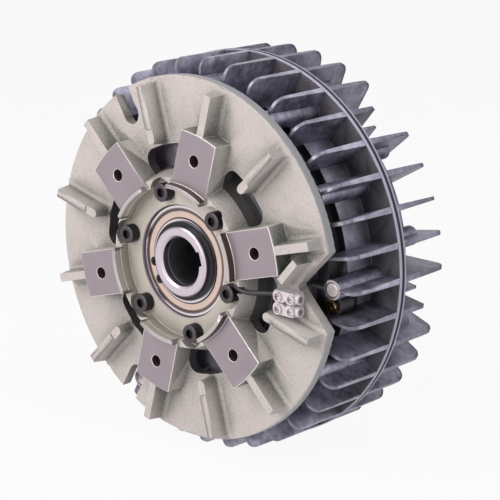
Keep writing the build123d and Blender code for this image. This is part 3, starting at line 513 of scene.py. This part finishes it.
# Painted shade: the outer wall of the pilot is painted dark brown.
pilot_wall_shade = (y < -PAD_PLANE) * (distance > PILOT_WALL_RADIUS)
skin = paint.mix(pilot_wall_shade, skin, (0.085, 0.055, 0.05))
skin = paint.mix(y < PILOT_TOP, skin, (0.52, 0.47, 0.475))
print("the bearing's seat reaches", round(SEAT_RADIUS / MM, 1), "mm from the axis")

# %% [markdown]
# Each pad has a tapped hole. Cut threads would need thousands of faces for a few dark lines, so a sine
# along the hole paints the shade and light of its turns, and the hole is painted nearly black as its
# shade. The finish is then complete: bare metal is smoother than paint and has no sand in it.

# %% Tapped holes, and the bracket itself
PAD_HOLES = (77.5 * MM, 6, 15.5)
TAPPED_RADIUS = 4.35 * MM
THREAD_PITCH = 1.5 * MM

thread = paint.off_ring(*PAD_HOLES) < TAPPED_RADIUS
turns = paint.maths("SINE", y * (2 * math.pi / THREAD_PITCH))
# Painted shade and light of the thread's turns, nearly black as the hole's shade.
thread_shade = paint.mix(turns * 0.5 + 0.5, (0.012, 0.010, 0.010), (0.14, 0.085, 0.095))
paint.set("Base Color", paint.mix(thread, skin, thread_shade))
paint.set("Metallic", bare * (1 - thread) * 0.5)
paint.set("Roughness", 0.52 - bare * 0.14 + (clouds - 0.5) * 0.1)
sand = (grain * 0.5 + pits * 0.5) * (1 - bare)
paint.set("Normal", paint.bump(sand, distance=0.7 * MM, strength=0.9))
wear_in(paint, 0.4 * MM, "front_bracket")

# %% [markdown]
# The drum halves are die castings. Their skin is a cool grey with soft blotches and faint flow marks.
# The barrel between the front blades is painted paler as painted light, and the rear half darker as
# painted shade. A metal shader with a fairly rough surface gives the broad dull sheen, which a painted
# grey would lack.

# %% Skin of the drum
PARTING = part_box("drum_rear")[0].y
RIM_HALF_WIDTH = 3.6 * MM
BARREL_RADIUS = 117.5 * MM
DARK_SKIN = (0.20, 0.19, 0.245)
PALE_SKIN = (0.52, 0.50, 0.62)
DARK_FLOW_AND_SHADE = (0.11, 0.105, 0.135)
PALE_FLOW = (0.72, 0.70, 0.84)

cast = Finish("drum_casting", (0.30, 0.30, 0.34), 0.5, 0.7)
_, y, _ = cast.axes()
distance = cast.off_axis()
blotches = cast.noise(60, detail=5, roughness=0.6)
flow_marks = cast.noise(260, roughness=0.65)
tone = cast.mix(cast.step(blotches, 0.32, 0.68), DARK_SKIN, PALE_SKIN)
tone = cast.mix(cast.step(flow_marks, 0.50, 0.70) * 0.45, tone, DARK_FLOW_AND_SHADE)
tone = cast.mix(cast.step(1 - flow_marks, 0.52, 0.72) * 0.35, tone, PALE_FLOW)
# Painted light: the barrel between the front blades is painted paler.
barrel_light = (distance < BARREL_RADIUS) * (y < PARTING)
tone = cast.mix(barrel_light * 0.36, tone, (0.70, 0.67, 0.80))
rear_half = y > PARTING
# Painted shade: the rear half is painted darker.
tone = cast.mix((y > PARTING + RIM_HALF_WIDTH) * 0.5, tone, (0.06, 0.056, 0.085))
print("the halves meet at", round(PARTING / MM, 1), "mm")

# %% [markdown]
# The web that joins the blades in the middle of the drum is dull and painted dark as its shade, and the
# fillet between it and the drum is smooth, with a painted highlight along it. Both lie in narrow ranges
# of depth, so a mask of depth finds them on every blade at once.

# %% Web and fillet of the drum
WEB_FRONT = 73.3 * MM
WEB_DEPTH = 0.4 * MM
FILLET_WIDTH = 1.1 * MM

dull_shaded_web = y.between(WEB_FRONT, WEB_FRONT + WEB_DEPTH)
# Painted shade: the web is painted dark.
tone = cast.mix(dull_shaded_web * 0.9, tone, (0.055, 0.05, 0.056))
# Painted highlight along the fillet.
fillet_highlight = y.between(WEB_FRONT - FILLET_WIDTH, WEB_FRONT) * (distance < BARREL_RADIUS)
tone = cast.mix(fillet_highlight * 0.8, tone, (0.85, 0.82, 0.90))
print("the drum has", len(cast.tree.nodes), "nodes so far")

# %% [markdown]
# A lathe trims the blades after casting, straight on the outside and round at both shoulders, so those
# edges are brighter than the cast skin; the rounded edge strips get a painted highlight too, weaker on
# the rear half. The front shoulders are painted darker as the bracket's shade on them, and the rear
# tips are painted nearly black. How deep a place lies inside the trimmed profile tells whether the tool
# touched it.

# %% Turned edges of the blades
FIN_RADIUS = 140 * MM
FIN_CORNER = 8 * MM
FINS_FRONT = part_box("drum_front")[0].y
FINS_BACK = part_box("drum_rear")[1].y
TURNED_DEPTH = 0.3 * MM
FACED_DEPTH = 0.25 * MM
TIP_DEPTH = 2.0 * MM

past_side = cast.larger(distance - (FIN_RADIUS - FIN_CORNER), 0.0)
past_front = FINS_FRONT + FIN_CORNER - y
past_back = y - (FINS_BACK - FIN_CORNER)
past_end = cast.larger(cast.larger(past_front, past_back), 0.0)
past_corner = cast.hypotenuse(past_side, past_end)
turned_edge = past_corner > FIN_CORNER - TURNED_DEPTH
turned_edge = cast.larger(turned_edge, y < FINS_FRONT + FACED_DEPTH)
turned_edge = cast.larger(turned_edge, y > FINS_BACK - FACED_DEPTH)
# Turned edges are brighter metal, and the edge strips get a painted highlight too.
turned_and_lit_edge = cast.larger(turned_edge, cast.rubbed()) * 0.3 * (1 - rear_half * 0.7)
tone = cast.mix(turned_and_lit_edge, tone, (0.46, 0.44, 0.54))
# Painted shade of the bracket on the front shoulders.
front_shoulder_shade = turned_edge * (y < FINS_FRONT + FIN_CORNER)
tone = cast.mix(front_shoulder_shade * 0.6, tone, DARK_FLOW_AND_SHADE)
rear_tip = (past_corner > FIN_CORNER - TIP_DEPTH) * (y > FINS_BACK - FIN_CORNER)
tone = cast.mix(rear_tip * 0.6, tone, (0.05, 0.048, 0.062))
print("blades from", round(FINS_FRONT / MM, 1), "to", round(FINS_BACK / MM, 1), "mm")

# %% [markdown]
# The ends of the screw bosses are faced bright. The rim round the middle of the drum is turned, and
# a dark line shows where the two halves meet in a small groove. These faces could be picked one by
# one, but a ring of holes, a radius and a depth find them without touching the mesh.

# %% Screw bosses and rim of the drum
RIM_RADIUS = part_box("drum_front")[1].x
RIM_DEPTH = 0.4 * MM
GROOVE_DEPTH = 1.6 * MM
GROOVE_HALF_WIDTH = 1.3 * MM
BOSS_RING = (120.8 * MM, 12, -0.4)
BOSS_RADIUS = 7.2 * MM
BOSS_DEPTH = 0.6 * MM

boss_end = (y < FINS_FRONT + BOSS_DEPTH) * (cast.off_ring(*BOSS_RING) < BOSS_RADIUS)
tone = cast.mix(boss_end, tone, (0.46, 0.41, 0.45))
off_parting = cast.maths("ABSOLUTE", y - PARTING)
rim = (distance > RIM_RADIUS - RIM_DEPTH) * (off_parting < RIM_HALF_WIDTH)
tone = cast.mix(rim, tone, (0.40, 0.38, 0.48))
groove = (distance > RIM_RADIUS - GROOVE_DEPTH) * (off_parting < GROOVE_HALF_WIDTH)
tone = cast.mix(groove, tone, (0.014, 0.012, 0.02))
print("the rim is", round(2 * RIM_RADIUS / MM, 1), "mm across")

# %% [markdown]
# Painted shade darkens the corners between the blades, and ambient occlusion finds those by itself. The
# ledge behind the bracket and the bay round each filler plug are painted black as their shade, which no
# corner would explain, so they get masks of their own. The masks also take the metallic look away, so
# that black stays dull.

# %% Painted shade on the drum, and the drum itself
DRUM_SHADE_REACH = 16 * MM
LEDGE_BACK = 47.8 * MM
LEDGE_RADII = (100 * MM, BARREL_RADIUS - 1 * MM)
PLUGS = (116 * MM, 2, -7)
PLUG_BOSS_RADIUS = 7.5 * MM
BAY_SHADE_RADIUS = 14 * MM
BAY_SHADE_BACK = 60 * MM

# Painted shade in the corners between the blades.
tone = cast.mix(cast.corners(DRUM_SHADE_REACH, 0.22, 0.80) * 0.8, tone, (0.035, 0.032, 0.038))
ledge = (y < LEDGE_BACK) * distance.between(*LEDGE_RADII)
plug_bay = (y < BAY_SHADE_BACK) * (1 - cast.step(cast.off_ring(*PLUGS), PLUG_BOSS_RADIUS, BAY_SHADE_RADIUS))
# Painted shade: the ledge and the plug bays are painted black and dull.
ledge_and_bay_shade = cast.larger(ledge * 0.92, plug_bay * 0.95)
cast.set("Base Color", cast.mix(ledge_and_bay_shade, tone, (0.012, 0.011, 0.013)))
cast.set("Metallic", 0.85 * (1 - groove) * (1 - dull_shaded_web * 0.7) * (1 - ledge_and_bay_shade))
cast.set("Roughness", 0.36 + blotches * 0.2 + cast.larger(dull_shaded_web, cast.rubbed()) * 0.2)
skin = cast.noise(500, roughness=0.6) * 0.6 + blotches * 0.4
cast.set("Normal", cast.bump(skin, distance=0.3 * MM, strength=0.5))
wear_in(cast, 0.35 * MM, "drum_front", "drum_rear")

# %% [markdown]
# Rings and shafts come off a lathe or a grinder, so their fine marks run round the axis. An
# anisotropic shader gives the sheen of such marks but not the marks. Noise that reads only a
# place's depth and its distance from the shaft axis is the same all the way round, so it draws
# them as rings.

# %% Steel with marks round the axis
LATHE_STRETCH = 60


def turned(name, base, roughness):
    """Steel with fine marks that run round the shaft axis."""
    finish = Finish(name, base, roughness, 1.0)
    _, y, _ = finish.axes()
    radius = finish.off_axis()
    rings = finish.node("ShaderNodeCombineXYZ", None, {0: radius * LATHE_STRETCH, 1: y * LATHE_STRETCH})
    lines = finish.noise(70, detail=2, place=rings)
    dark = tuple(channel * 0.8 for channel in base)
    finish.set("Base Color", finish.mix(lines, dark, base))
    finish.set("Roughness", roughness + (lines - 0.5) * 0.12)
    finish.set("Normal", finish.bump(lines, distance=0.02 * MM, strength=0.5))
    return finish


wear_in(turned("circlip_steel", (0.045, 0.045, 0.05), 0.3), 0.15 * MM,
        "front_circlip", "rear_bearing_circlip")
wear_in(turned("core_steel", (0.32, 0.32, 0.33), 0.42), SHARP, "magnet_core_front", "magnet_core_rear")
wear_in(turned("cylinder_steel", (0.32, 0.32, 0.33), 0.40), SHARP, "steel_cylinder")
wear_in(turned("spacer_steel", (0.45, 0.45, 0.46), 0.35), SHARP, "bearing_spacer")
wear_in(turned("spacer_bronze", (0.55, 0.40, 0.20), 0.35), SHARP, "pole_spacer_ring")
wear_in(turned("coil_winding", (0.60, 0.24, 0.12), 0.3), SHARP, "field_coil")

# %% [markdown]
# Each race is ground bright, with a dark line where it ends. Bright bands on the races are painted
# reflection, and a brown band on the outer one next to the seal is painted shade. Cut grooves would do,
# but a ramp of colours by distance from the axis draws them all in one node. Its stops are the radii
# where the shade changes.

# %% Bearing races
# Bright stops are painted reflection; the brown ones next to the seal are painted shade.
RACE_LIGHT_AND_SHADE = [
    (24.8 * MM, (0.40, 0.36, 0.38)),
    (29.6 * MM, (0.72, 0.66, 0.70)),
    (30.2 * MM, (0.02, 0.018, 0.018)),
    (35.8 * MM, (0.10, 0.075, 0.07)),
    (37.4 * MM, (0.20, 0.165, 0.165)),
    (37.8 * MM, (0.70, 0.65, 0.68)),
    (39.0 * MM, (0.74, 0.69, 0.72)),
    (39.4 * MM, (0.03, 0.026, 0.028)),
]

ground = turned("bearing_steel", (0.62, 0.60, 0.62), 0.22)
stops = [(radius / RACE_RADIUS, colour) for radius, colour in RACE_LIGHT_AND_SHADE]
ground.set("Base Color", ground.node("ShaderNodeValToRGB", {"stops": stops},
                                     {"Fac": ground.off_axis() * (1 / RACE_RADIUS)}))
wear_in(ground, 0.25 * MM, "front_bearing_outer_race", "front_bearing_inner_race",
        "rear_bearing_outer_race", "rear_bearing_inner_race")

# %% [markdown]
# The shaft's nose shows bright lathe marks, and its flange at the rear is a duller grey. Its bore is
# honed, and is painted nearly black as its shade, with one painted highlight line where the lead-in
# ends. It is one piece, so its finish tells the bore by its radius and the flange by its depth.

# %% Hollow shaft
BORE_MASK_RADIUS = 21 * MM
BORE_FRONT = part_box("hollow_shaft")[0].y + 1.6 * MM
LEAD_IN_LINE = (11.3 * MM, 11.8 * MM)

shaft = turned("shaft_steel", (0.68, 0.59, 0.65), 0.30)
_, y, _ = shaft.axes()
radius = shaft.off_axis()
in_bore = (radius < BORE_MASK_RADIUS) * (y > BORE_FRONT)
stains = shaft.step(shaft.noise(45, detail=2), 0.35, 0.7)
# Painted shade in the bore, and a painted highlight line where the lead-in ends.
bore_shade = shaft.mix(stains, (0.04, 0.038, 0.043), (0.15, 0.145, 0.16))
bore = shaft.mix(y.between(*LEAD_IN_LINE), bore_shade, (0.80, 0.80, 0.86))
circles = shaft.node("ShaderNodeCombineXYZ", None, {0: radius, 1: y})
lathe_marks = shaft.noise(900, detail=2, place=circles)
nose = shaft.mix(lathe_marks, (0.58, 0.50, 0.56), (0.72, 0.64, 0.70))
steel = shaft.mix(y > PARTING, nose, (0.36, 0.33, 0.36))
shaft.set("Base Color", shaft.mix(in_bore, steel, bore))
shaft.set("Metallic", 1 - in_bore * 0.7)
wear_in(shaft, 0.15 * MM, "hollow_shaft")

# %% [markdown]
# Socket screws are blackened steel. Their edge strips are painted grey, partly as wear where a key or a
# hand rubs them and partly as painted highlight. The hub's screws show their knurled heads, and the
# front faces of those heads are painted lighter as a painted sheen. Modelled teeth would be too fine to
# see one by one, so a sine of the angle round each screw drives a bump there.

# %% Blackened screws
HUB_SCREWS = (50 * MM, 6, 45.5)
HUB_HEAD_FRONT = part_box("hub_screws")[0].y
HUB_HEAD_RADIUS = 6.5 * MM
HEAD_FACE_DEPTH = 0.7 * MM
SOCKET_RADIUS = 3.5 * MM
KNURLS = 36
KNURL_DEPTH = 0.1 * MM


def blackened(name, knurled=False):
    """Blackened steel, with the knurled heads of the hub's screws if asked for."""
    finish = Finish(name, (0.022, 0.022, 0.025), 0.36, 0.6, slot="black_screws")
    rub = finish.noise(300)
    skin = finish.mix(finish.step(rub, 0.55, 0.8), (0.018, 0.018, 0.021), (0.05, 0.05, 0.055))
    if knurled:
        _, y, _ = finish.axes()
        off_screw, angle = finish.round_ring(*HUB_SCREWS)
        # Painted sheen: the front faces of the heads are painted lighter.
        face = (y < HUB_HEAD_FRONT + HEAD_FACE_DEPTH) * (off_screw > SOCKET_RADIUS)
        skin = finish.mix(face, skin, (0.075, 0.06, 0.068))
        side = off_screw > HUB_HEAD_RADIUS - KNURL_DEPTH
        teeth = finish.maths("SINE", angle * KNURLS)
        finish.set("Normal", finish.bump(teeth * side, distance=0.15 * MM, strength=0.7))
    # Edge strips painted grey: partly wear, partly painted highlight.
    finish.set("Base Color", finish.mix(finish.rubbed() * 0.5, skin, (0.12, 0.11, 0.12)))
    finish.set("Roughness", 0.3 + rub * 0.2)
    return finish


wear_in(blackened("knurled_screws", knurled=True), 0.25 * MM, "hub_screws")
wear_in(blackened("black_screws"), 0.2 * MM, "core_screws", "flange_bolts")

# %% [markdown]
# The drum's screws are zinc plated, with a faint spangle. The filler plugs and the terminal sleeves are
# brass, and the plugs are painted nearly black in patches as the shade of the bay round them. The balls
# are polished. Each is one metal, so one noise for colour or gloss is enough on pieces this small.

# %% Small metal pieces
zinc = Finish("plated_screws", (0.62, 0.56, 0.56), 0.34, 0.9)
spangle = zinc.noise(400, detail=2)
zinc.set("Base Color", zinc.mix(spangle, (0.55, 0.49, 0.49), (0.70, 0.64, 0.64)))
zinc.set("Roughness", 0.28 + spangle * 0.15)
wear_in(zinc, 0.2 * MM, "drum_screws")

dull_brass = Finish("plug_brass", (0.42, 0.30, 0.12), 0.38, 0.9)
patch_noise = dull_brass.noise(350)
shade_patches = dull_brass.step(patch_noise, 0.50, 0.72)
# Painted shade: the plugs are painted nearly black in patches.
dull_brass.set("Base Color", dull_brass.mix(shade_patches, (0.018, 0.012, 0.006), (0.42, 0.25, 0.12)))
dull_brass.set("Roughness", 0.3 + patch_noise * 0.25)
wear_in(dull_brass, 0.3 * MM, "fill_plugs")

sleeve_brass = Finish("terminal_brass", (0.68, 0.46, 0.24), 0.3, 1.0)
sleeve_brass.set("Roughness", 0.25 + sleeve_brass.noise(400, detail=2) * 0.15)
wear_in(sleeve_brass, 0.1 * MM, "terminal_sleeves")

polished = Finish("bearing_balls", (0.75, 0.75, 0.76), 0.08, 1.0)
polished.set("Roughness", 0.06 + polished.noise(200, detail=2) * 0.06)
wear_in(polished, SHARP, "front_bearing_balls", "rear_bearing_balls")

# %% [markdown]
# The clamp screws of the terminal block are plated steel with spots of rust, and so is the screw
# that holds the block. A step on a noise makes the spots, with soft borders and clean metal
# between them.

# %% Terminal screws
clamp_steel = Finish("terminal_screws", (0.66, 0.60, 0.60), 0.3, 0.8)
clamp_marks = clamp_steel.noise(500, detail=2)
rust = clamp_steel.step(clamp_marks, 0.5, 0.65)
clamp_steel.set("Base Color", clamp_steel.mix(rust, (0.66, 0.60, 0.62), (0.42, 0.20, 0.12)))
clamp_steel.set("Roughness", 0.25 + clamp_marks * 0.15)
wear_in(clamp_steel, 0.12 * MM, "terminal_clamp_screws", "terminal_block_screw")

# %% [markdown]
# The seals are pale tan rubber. The lip of the outer race shades their outer edge to brown, and
# their inner edge is black where it touches the inner race. Both are bands of distance from the
# axis, one soft and one sharp.

# %% Bearing seals
SEAL_SHADE = (34.6 * MM, 35.6 * MM)
SEAL_LIP_RADIUS = 30.9 * MM

seal = Finish("bearing_seal", (0.68, 0.52, 0.44), 0.42)
shade = seal.noise(200)
radius = seal.off_axis()
rubber = seal.mix(shade, (0.62, 0.48, 0.41), (0.70, 0.55, 0.48))
rubber = seal.mix(seal.step(radius, *SEAL_SHADE), rubber, (0.16, 0.11, 0.10))
rubber = seal.mix(radius < SEAL_LIP_RADIUS, rubber, (0.05, 0.035, 0.035))
seal.set("Base Color", rubber)
seal.set("Roughness", 0.38 + shade * 0.12)
wear_in(seal, 0.2 * MM, "front_bearing_seals", "rear_bearing_seals")

# %% [markdown]
# Cages, bobbin and terminal block are moulded. One colour alone would look like a toy, so the
# plastic has faint clouds from its flow into the mould, and a skin too fine to see as a pattern,
# which softens the highlights.


# %% Plastic pieces
def moulded(name, base, roughness):
    """Moulded plastic: one colour with faint flow clouds and a fine skin."""
    finish = Finish(name, base, roughness)
    flow = finish.noise(150)
    dark = tuple(channel * 0.9 for channel in base)
    finish.set("Base Color", finish.mix(flow, dark, base))
    finish.set("Roughness", roughness + (flow - 0.5) * 0.1)
    finish.set("Normal", finish.bump(finish.noise(1500, detail=2), distance=0.05 * MM, strength=0.3))
    return finish


wear_in(moulded("bearing_cage", (0.50, 0.45, 0.30), 0.45), SHARP,
        "front_bearing_cage", "rear_bearing_cage")
wear_in(moulded("bobbin_plastic", (0.62, 0.58, 0.46), 0.5), SHARP, "coil_bobbin")
wear_in(moulded("terminal_plastic", (0.74, 0.68, 0.72), 0.36), 0.3 * MM, "terminal_block")

# %% [markdown]
# Inside the drum lies the iron powder itself, rough and nearly black, between felt rings that keep
# it in. Neither is in view, but both show when the brake is taken apart, so they get a plain
# finish of their own: grains by bump, and fibres by a rough noise.

# %% Powder and felt
powder = Finish("powder", (0.05, 0.05, 0.052), 0.9, 0.3)
powder.set("Normal", powder.bump(powder.noise(3000, detail=2), distance=0.1 * MM))
wear_in(powder, SHARP, "magnetic_powder")

felt = Finish("felt", (0.60, 0.56, 0.48), 0.95)
fibres = felt.noise(1500, detail=4, roughness=0.7)
felt.set("Base Color", felt.mix(fibres, (0.48, 0.44, 0.37), (0.68, 0.64, 0.56)))
felt.set("Normal", felt.bump(fibres, distance=0.2 * MM))
wear_in(felt, SHARP, "front_powder_seal", "rear_powder_seal")

# %% [markdown]
# The lead comes out of the hub beside a screw and runs across the bracket to the terminal block.
# The real one is a soft round cable, so it is a NURBS curve through the air, with the points of the
# CAD route as its control points. A curve keeps its thickness and its smooth bends.

# %% The lead
LEAD_DIAMETER = 3.5 * MM
LEAD_ROUTE = [
    (60.1, 62.0, -4.9),
    (52.2, 6.0, -4.1),
    (55.2, 2.5, -5.9),
    (62.2, 4.3, -9.2),
    (69.0, 5.2, -8.6),
    (76.5, 7.0, -7.4),
    (84.3, 8.8, -6.5),
    (90.0, 9.0, -6.4),
]

sheath = Finish("lead_sheath", (0.022, 0.020, 0.023), 0.42)
sheath.set("Roughness", 0.36 + sheath.noise(300) * 0.16)
line = bpy.data.curves.new("coil_lead_cable", "CURVE")
line.dimensions = "3D"
line.bevel_depth = LEAD_DIAMETER / 2
line.bevel_resolution = 6
line.resolution_u = 12
line.use_fill_caps = True
spline = line.splines.new("NURBS")
spline.points.add(len(LEAD_ROUTE) - 1)
for point, place in zip(spline.points, LEAD_ROUTE):
    point.co = (*(value * MM for value in place), 1)
spline.order_u = 3
spline.use_endpoint_u = True
line.materials.append(sheath.material)
lead = add("coil_lead_cable", line)
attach(lead, "bracket")
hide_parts("coil_lead")
print("lead", round(spline.calc_length() / MM, 1), "mm")

# %% [markdown]
# The photograph is a product shot on white paper. More light would make the floor white, but would
# bleach the brake as well. Instead the paper is nearly always plain white to the camera and to
# reflections. A small share of it stays a diffuse sheet, and the object's shadow shows in that.

# %% White paper
FLOOR_GLOW = 0.93

paper = Finish("floor_paper", (0.9, 0.9, 0.9), 0.9)
seen = paper.seen_by("Is Camera Ray", "Is Glossy Ray")
glow = paper.node("ShaderNodeEmission", None, {"Color": (1, 1, 1, 1), "Strength": 1.0})
sheet = Value(paper, paper.shader.outputs[0])
blend = paper.node("ShaderNodeMixShader", None, {0: seen * FLOOR_GLOW, 1: sheet, 2: glow})
paper.feed(paper.tree.nodes["Material Output"].inputs["Surface"], blend)
paper.set("Normal", paper.bump(paper.noise(40), distance=0.1 * MM, strength=0.2))
print("the paper shows", round(100 * (1 - FLOOR_GLOW)), "percent of the light that falls on it")

# %% [markdown]
# The floor is one large flat sheet just under the brake. A backdrop that curves up behind it would hide
# the far edge, but the edge of a sheet this wide is far out of the picture. The floor isn't part of the
# object.

# %% Floor
FLOOR_SIZE = 14
FLOOR_HEIGHT = cad_box[0].z - 0.2 * MM

form = bmesh.new()
bmesh.ops.create_grid(form, x_segments=2, y_segments=2, size=FLOOR_SIZE / 2)
bmesh.ops.translate(form, verts=form.verts, vec=(0, 0, FLOOR_HEIGHT))
mesh = bpy.data.meshes.new("floor")
form.to_mesh(mesh)
form.free()
mesh.materials.append(paper.material)
floor = add("floor", mesh)
print("floor at", round(FLOOR_HEIGHT / MM, 1), "mm")

# %% [markdown]
# The sky stands for the white room round the brake. An image of a room would leave marks in the
# reflections, so it is plain white where the camera, a reflection or a transparent ray looks at
# it. As a light it is much weaker, because the corners between the ribs are dark in the
# photograph: nearly all light comes from lamps.

# %% Sky
SKY_LIGHT = 0.07

world = bpy.data.worlds.new("studio")
bpy.context.scene.world = world
world.use_nodes = True
sky = Graph(world.node_tree)
seen = sky.seen_by("Is Camera Ray", "Is Glossy Ray", "Is Transmission Ray")
background = world.node_tree.nodes["Background"]
sky.feed(background.inputs["Color"], (1, 1, 1, 1))
sky.feed(background.inputs["Strength"],
         sky.node("ShaderNodeMix", None, {0: seen, 2: SKY_LIGHT, 3: 1.0}))
print("the sky gives", SKY_LIGHT, "of the light that it shows")

# %% [markdown]
# Four broad lamps light the brake: one in front, one above it to the left, and two weak ones from the
# right. Guessing them takes long, so the plate was rendered under one lamp at a time, from many
# directions, and the mix nearest to the photograph was a start, which was then adjusted. The two in
# front are a little pink and the others a little green, as lit and shaded paint are there.

# %% Lamps
LAMP_AIM = Vector((0, 0.06, 0))
LAMP_DISTANCE = 1.6
LAMP_SIZE = 0.8
PINKISH = (1.0, 0.955, 0.95)
GREENISH = (0.93, 1.0, 0.98)


def lamp(name, azimuth, elevation, power, colour):
    """A square soft lamp that looks at the brake from an azimuth and elevation."""
    data = bpy.data.lights.new(name, "AREA")
    data.shape = "SQUARE"
    data.size = LAMP_SIZE
    data.energy = power
    data.color = colour
    towards = direction(azimuth, elevation)
    body = add(name, data)
    body.location = LAMP_AIM + towards * LAMP_DISTANCE
    body.rotation_mode = "QUATERNION"
    body.rotation_quaternion = towards.to_track_quat("Z", "Y")
    print("lamp", name, power, "W")


lamp("front", 0, 14, 13.5, PINKISH)
lamp("upper_left", -22, 45, 8.5, PINKISH)
lamp("top", 100, 60, 5, GREENISH)
lamp("side", 75, 12, 2.5, GREENISH)
bpy.context.scene.view_settings.view_transform = "Standard"
